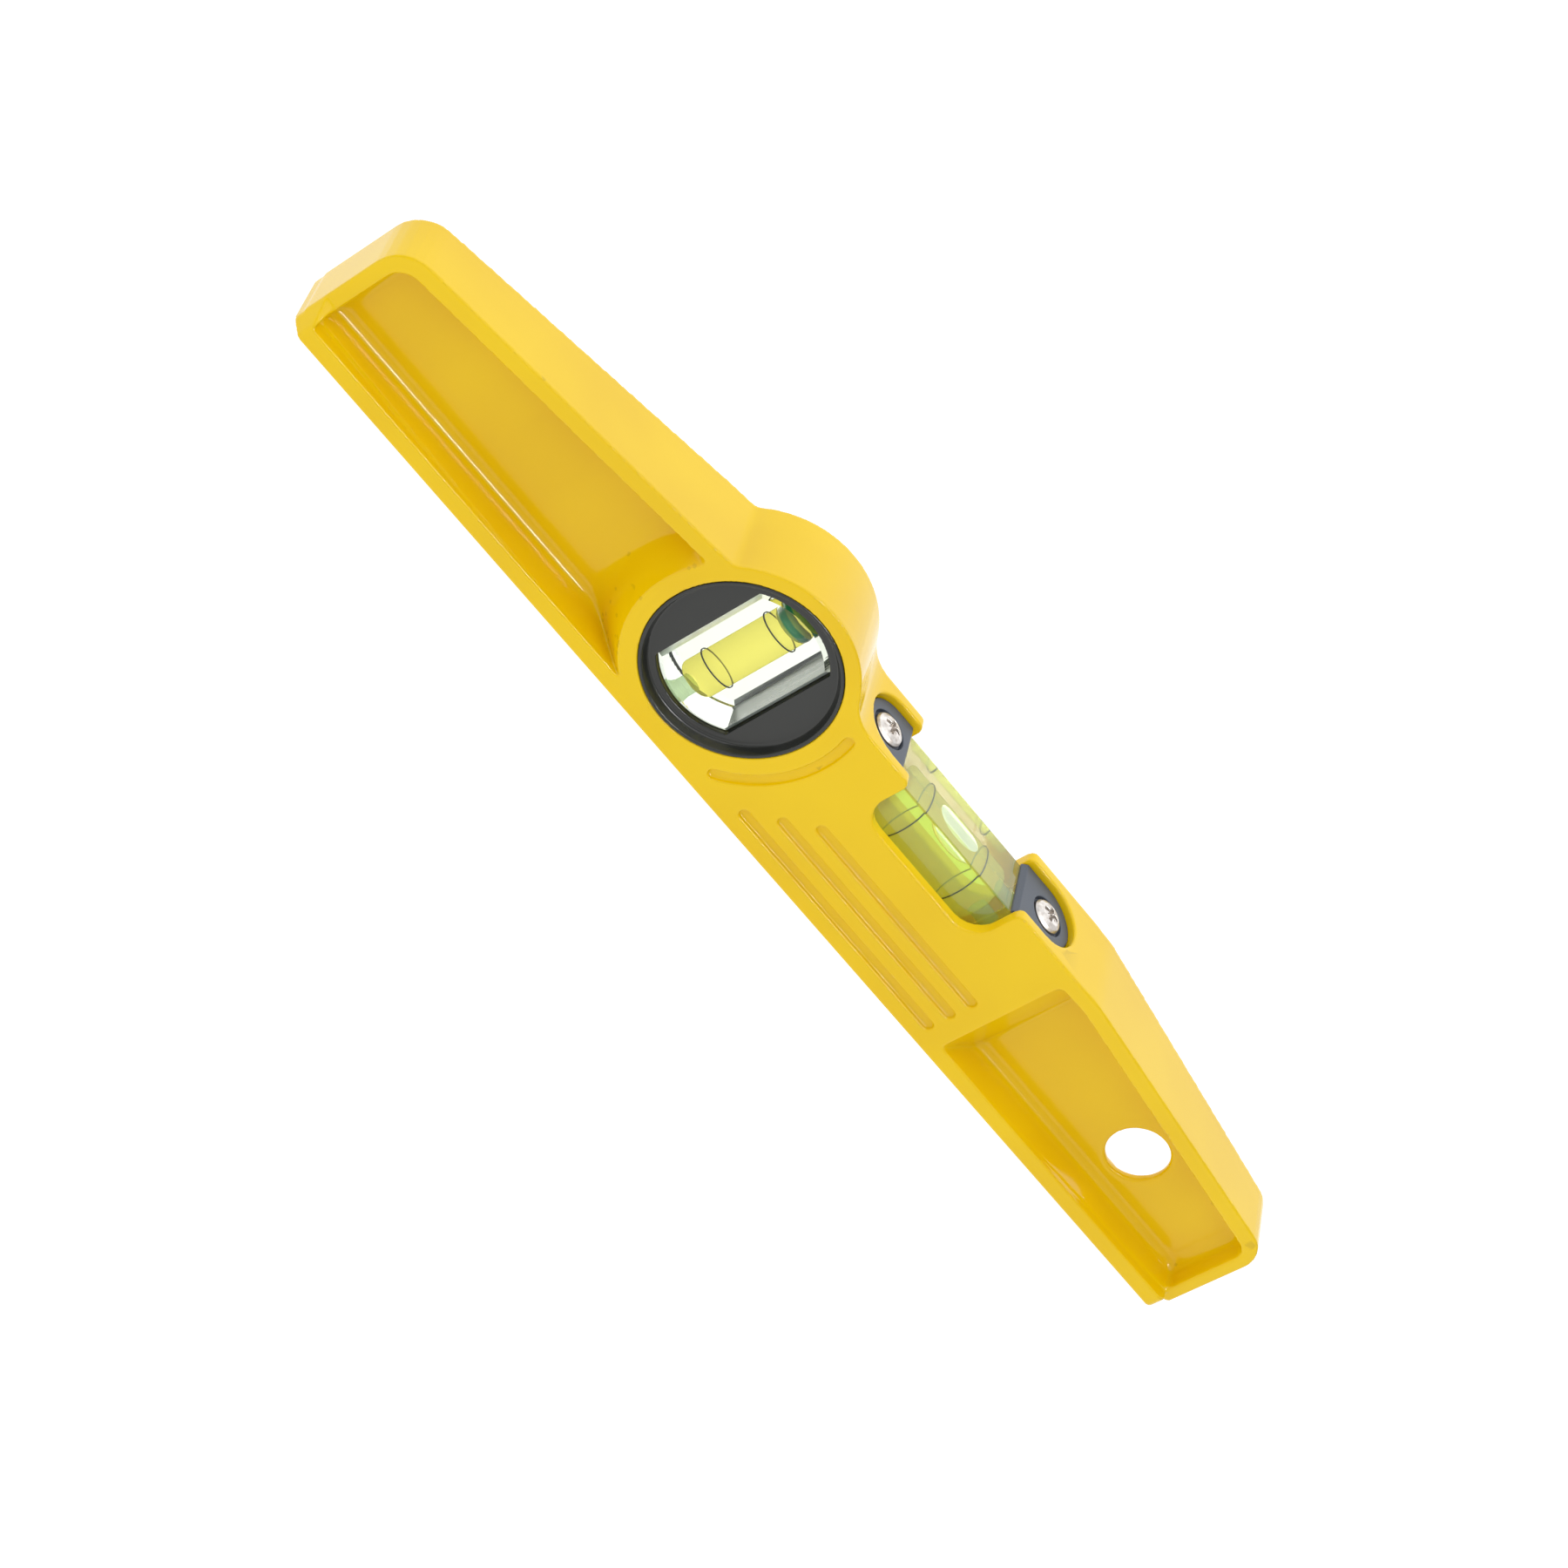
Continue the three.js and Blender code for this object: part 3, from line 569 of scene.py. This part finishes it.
def buildBezels():
    for side in ("front", "rear"):
        piece = copyOf("plumb_bezel_" + side, "plumbBezel_" + side)
        soften(piece, bezel)
        thinOut(piece, bezel)
        finishPiece(piece, blackAbs, "level", "plumb_bezel_" + side)
    print("stage: bezels")


def pieceFrom(form, name):
    mesh = bpy.data.meshes.new(name)
    form.to_mesh(mesh)
    form.free()
    return newObject(name, mesh)


def arcPoints(centreX, centreZ, radius, start, end, steps):
    return [(centreX + radius * math.cos(start + (end - start) * i / steps),
             centreZ + radius * math.sin(start + (end - start) * i / steps)) for i in range(steps + 1)]


def prism(name, outline, depths, insets):
    # an XZ outline carried through several depths, drawn in by an inset at each
    form = bmesh.new()
    rings = []
    count = len(outline)
    mitreLimit = 0.3              # keeps a sharp corner from being drawn in too far
    for depth, inset in zip(depths, insets):
        ring = []
        for i, (x, z) in enumerate(outline):
            (px, pz), (nx, nz) = outline[i - 1], outline[(i + 1) % count]
            back = Vector((x - px, z - pz)).normalized()
            ahead = Vector((nx - x, nz - z)).normalized()
            normal = Vector((back.y, -back.x)) + Vector((ahead.y, -ahead.x))
            normal = normal / max(normal.length_squared / 2, mitreLimit)
            ring.append(form.verts.new((x - normal.x * inset, depth, z - normal.y * inset)))
        rings.append(ring)
    for lower, upper in zip(rings, rings[1:]):
        for i in range(count):
            j = (i + 1) % count
            form.faces.new((lower[i], lower[j], upper[j], upper[i]))
    form.faces.new(rings[0][::-1])
    form.faces.new(rings[-1])
    bmesh.ops.recalc_face_normals(form, faces=form.faces)
    return pieceFrom(form, name)


def turnedPiece(name, profile, place, axis, steps=64):
    # a solid turned from (radius, height) points about Z, or about X when asked
    form = bmesh.new()
    rings = []
    for radius, height in profile:
        if radius == 0:
            rings.append([form.verts.new((0, 0, height))])
            continue
        circle = arcPoints(0, 0, radius, 0, 2 * math.pi, steps)[:-1]
        rings.append([form.verts.new((x, y, height)) for x, y in circle])
    for lower, upper in zip(rings, rings[1:]):
        for i in range(steps):
            j = (i + 1) % steps
            quad = [lower[i % len(lower)], lower[j % len(lower)],
                    upper[j % len(upper)], upper[i % len(upper)]]
            quad = list(dict.fromkeys(quad))      # two corners are one at the tip
            if len(quad) > 2:
                form.faces.new(quad)
    bmesh.ops.recalc_face_normals(form, faces=form.faces)
    if axis == "x":
        bmesh.ops.rotate(form, verts=form.verts, matrix=Matrix.Rotation(math.pi / 2, 3, "Y"))
    bmesh.ops.translate(form, verts=form.verts, vec=place)
    return pieceFrom(form, name)


def roundedRod(radius, low, high, corner, steps=5):
    # the profile of a rod whose ends are rounded by a corner radius
    points = [(0, low)]
    for i in range(steps + 1):
        angle = math.pi / 2 * i / steps
        points.append((radius - corner + corner * math.sin(angle),
                       low + corner - corner * math.cos(angle)))
    for i in range(steps + 1):
        angle = math.pi / 2 * i / steps
        points.append((radius - corner + corner * math.cos(angle),
                       high - corner + corner * math.sin(angle)))
    return points + [(0, high)]


plumb = {
    "windowHalf": 9.55,           # half the window's width
    "windowRadius": 15.0, "windowSteps": 20,      # of the arcs above and below
    "windowDepth": 7.6,           # half the block's thickness
    "chamfer": 0.8,
    "tube": 4.05, "low": 10.1, "high": 35.0, "endRound": 1.6,
    "bubble": 4.15,               # a hair wider than the tube, so that it shows
    "meniscus": 1.6, "meniscusSteps": 10,
    "sideways": 0.6, "upright": 0.5,      # a face that points this much sideways, and not upwards, is sawn
}


def windowOutline(centre):
    # the clear window: straight sides between an arc above and an arc below
    corner = math.acos(plumb["windowHalf"] / plumb["windowRadius"])
    radius, steps = plumb["windowRadius"] * mm, plumb["windowSteps"]
    return (arcPoints(centre.x, centre.z, radius, corner, math.pi - corner, steps)
            + arcPoints(centre.x, centre.z, radius, math.pi + corner, 2 * math.pi - corner, steps))


def buildPlumbVial():
    low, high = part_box("plumb_vial_block")
    centre = (low + high) / 2
    window, chamfer = plumb["windowDepth"] * mm, plumb["chamfer"] * mm
    block = prism("plumbVialBlock", windowOutline(centre),
                  (-window, -window + chamfer, window - chamfer, window), (chamfer, 0, 0, chamfer))
    finishPiece(block, clearAcrylic, "level", "plumb_vial_block", smooth=False)
    block.data.materials.append(sawnPaintedLit)
    block.data.materials.append(sawnPaintedShade)
    # painted light: faces turned to -x get the pale lit copy, and faces turned to +x get the grey painted
    # shade
    for face in block.data.polygons:
        if abs(face.normal.x) > plumb["sideways"] and abs(face.normal.z) < plumb["upright"]:
            face.material_index = 1 if face.normal.x < 0 else 2
    liquid = turnedPiece("plumbVialLiquid", roundedRod(
        plumb["tube"] * mm, plumb["low"] * mm, plumb["high"] * mm, plumb["endRound"] * mm),
        (centre.x, 0, 0), "z")
    finishPiece(liquid, plumbLiquid, "level", "plumb_vial_fluid")
    low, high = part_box("plumb_bubble")      # the air fills the tube's width above a round meniscus
    bubble = turnedPiece("plumbBubble", roundedRod(
        plumb["bubble"] * mm, low.z, high.z, plumb["meniscus"] * mm, plumb["meniscusSteps"]),
        (centre.x, 0, 0), "z")
    finishPiece(bubble, plumbAir, "plumb_bubble_body", "plumb_bubble")
    lightPasses(block, liquid)
    print("stage: plumb vial")


levelVial = {
    "chamfer": 0.35, "chamferSteps": 3,
    "tube": 4.75, "reach": 13.5, "endRound": 1.0,     # the liquid's radius, half length and end rounding
    "bubbleShape": (1.08, 0.88, 0.95),      # slimmer and longer than the CAD model's simple lens
    "top": 0.9,                   # a face that points up at least this much is the top
    "voxelMm": 0.12, "smoothing": 3, "triangles": 12000,      # for the bubble
}


def buildLevelVial():
    v = levelVial
    low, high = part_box("level_vial_block")
    outline = [(low.x, low.z), (high.x, low.z), (high.x, high.z), (low.x, high.z)]
    block = prism("levelVialBlock", outline, (low.y, high.y), (0, 0))
    addModifier(block, "BEVEL", width=v["chamfer"] * mm, segments=v["chamferSteps"], limit_method="ANGLE")
    bakeModifiers(block)
    finishPiece(block, dyedBlock, "level", "level_vial_block", smooth=False)
    block.data.materials.append(dyedTopPaintedLight)      # the top face gets a paler, greyer copy of the tint: painted light from the sky above
    for face in block.data.polygons:
        if face.normal.z > v["top"]:
            face.material_index = 1
    low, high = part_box("level_vial_fluid")
    centre = (low + high) / 2
    liquid = turnedPiece("levelVialLiquid", roundedRod(
        v["tube"] * mm, -v["reach"] * mm, v["reach"] * mm, v["endRound"] * mm),
        (centre.x, 0, centre.z), "x")
    finishPiece(liquid, levelLiquid, "level", "level_vial_fluid")
    bubble = copyOf("level_bubble", "levelBubble")
    soften(bubble, v)
    thinOut(bubble, v)
    low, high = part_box("level_bubble")
    top = Vector(((low.x + high.x) / 2, 0, high.z))      # the bubble stays up against the tube
    for point in bubble.data.vertices:
        point.co = top + (point.co - top) * Vector(v["bubbleShape"])
    finishPiece(bubble, levelAir, "level_bubble_body", "level_bubble")
    lightPasses(block, liquid)
    print("stage: level vial")


capShape = {"voxelMm": 0.12, "smoothing": 3, "triangles": 60000}
screwShape = {"voxelMm": 0.08, "smoothing": 2, "triangles": 60000}


def buildCapsAndScrews():
    for side in ("left", "right"):
        for node, name, shape, material, slotName in (
                ("_end_cap", "EndCap", capShape, greyAbs, "grey_plastic"),
                ("_cap_screw", "CapScrew", screwShape, zinc, "zinc_steel")):
            piece = copyOf(side + node, side + name)
            soften(piece, shape)
            thinOut(piece, shape)
            finishPiece(piece, material, "level", side + node)
    print("stage: caps and screws")


def finishNodes(material, *nodes):
    # CAD nodes whose shape is right as it is, and which only need their material
    for node in nodes:
        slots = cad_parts[node].data.materials
        slots.clear()
        slots.append(material)


setUpCamera()
setUpSky()
setUpLamps()
setUpFloor()
print("stage: studio set")

paint = sprayedEnamel()
blackAbs = mouldedAbs("glossMouldedAbs")
greyAbs = mouldedAbs("grainedMouldedAbs")
clearAcrylic = castAcrylic("polishedCastAcrylic")
sawnPaintedLit = sawnAcrylic("sawnAcrylicPaintedLit")
sawnPaintedShade = sawnAcrylic("sawnAcrylicPaintedShade")
dyedBlock = dyedAcrylic("tintedCastAcrylic")
dyedTopPaintedLight = dyedAcrylic("tintedCastAcrylicPaintedTopLight")
plumbLiquid = dyedSpirit("dyedSpiritYellow")
levelLiquid = dyedSpirit("dyedSpiritGreen")
greenPlug = dyedSpirit("mouldedGreenPlug")
plumbAir = trappedAir("airInPlumbVialPaintedReflection")
levelAir = trappedAir("airInLevelVialPaintedReflection")
ink = screenInk()
zinc = zincPlate()
print("stage: materials made")

buildCasting()
buildBezels()
buildPlumbVial()
buildLevelVial()
buildCapsAndScrews()
finishNodes(ink, "plumb_ring_lower", "plumb_ring_upper", "level_ring_left", "level_ring_right")
finishNodes(greenPlug, "plumb_vial_plug", "level_vial_plug")
print("stage: rings and plugs")
